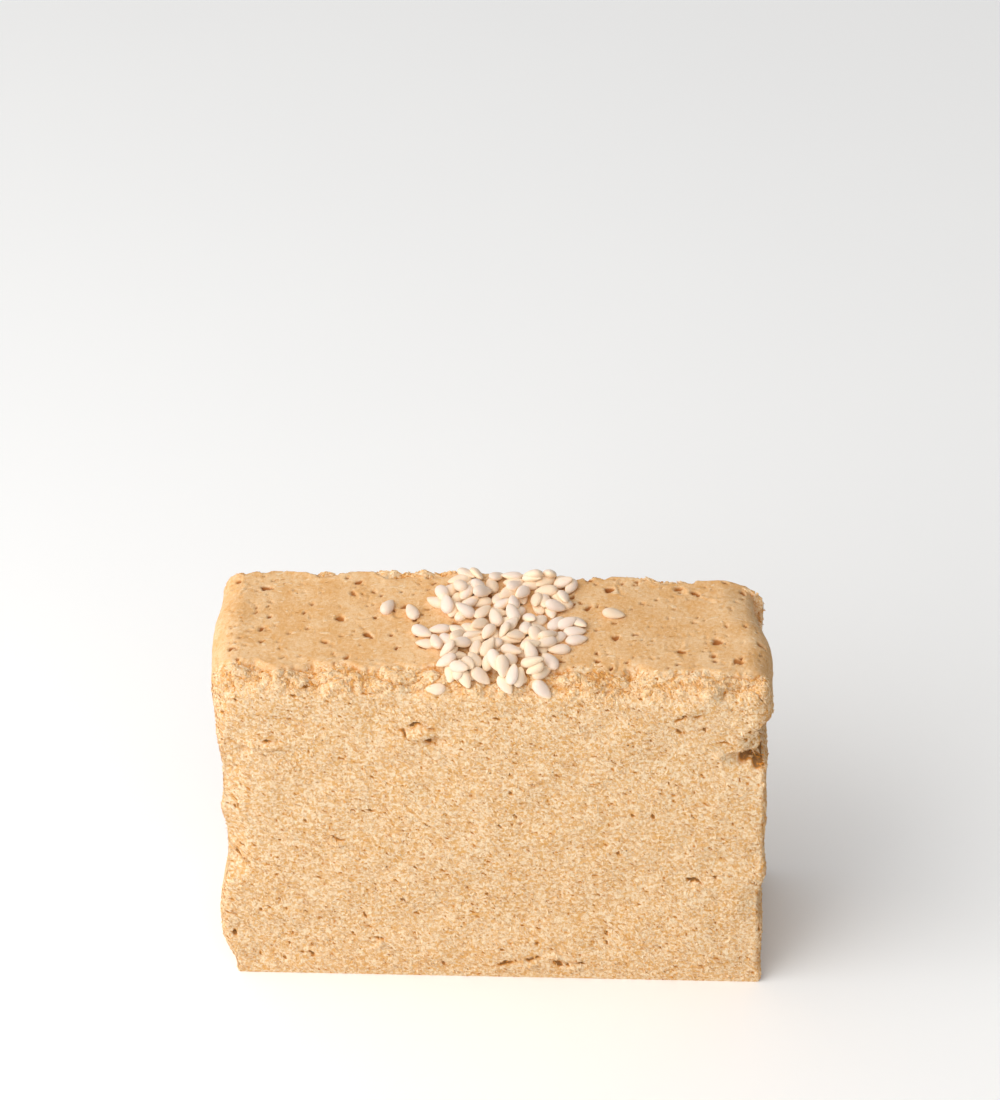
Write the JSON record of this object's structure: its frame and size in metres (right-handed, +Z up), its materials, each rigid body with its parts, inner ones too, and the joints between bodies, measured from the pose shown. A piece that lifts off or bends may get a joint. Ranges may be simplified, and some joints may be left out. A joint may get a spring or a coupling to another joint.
{
  "type": "sesame halva piece",
  "caption": "Upright slice of pressed sesame halva with crumbly broken edges, resting on its flat base, with hulled sesame seeds strewn over the middle of its top.",
  "frame": {"origin": "centre of the footprint, on the surface that the slice stands on", "axes": "+Z up, +X to the right along the slice's width, -Y towards the front cut face"},
  "size_m": [0.0812, 0.026, 0.0606],
  "materials": {
    "halva": "matte pressed crumb, tan cream, with a smoother faintly oily skin",
    "sesame": "waxy translucent cream seed with a soft sheen"
  },
  "bodies": {
    "root": {"halva_piece": "halva"}
  },
  "joints": []
}
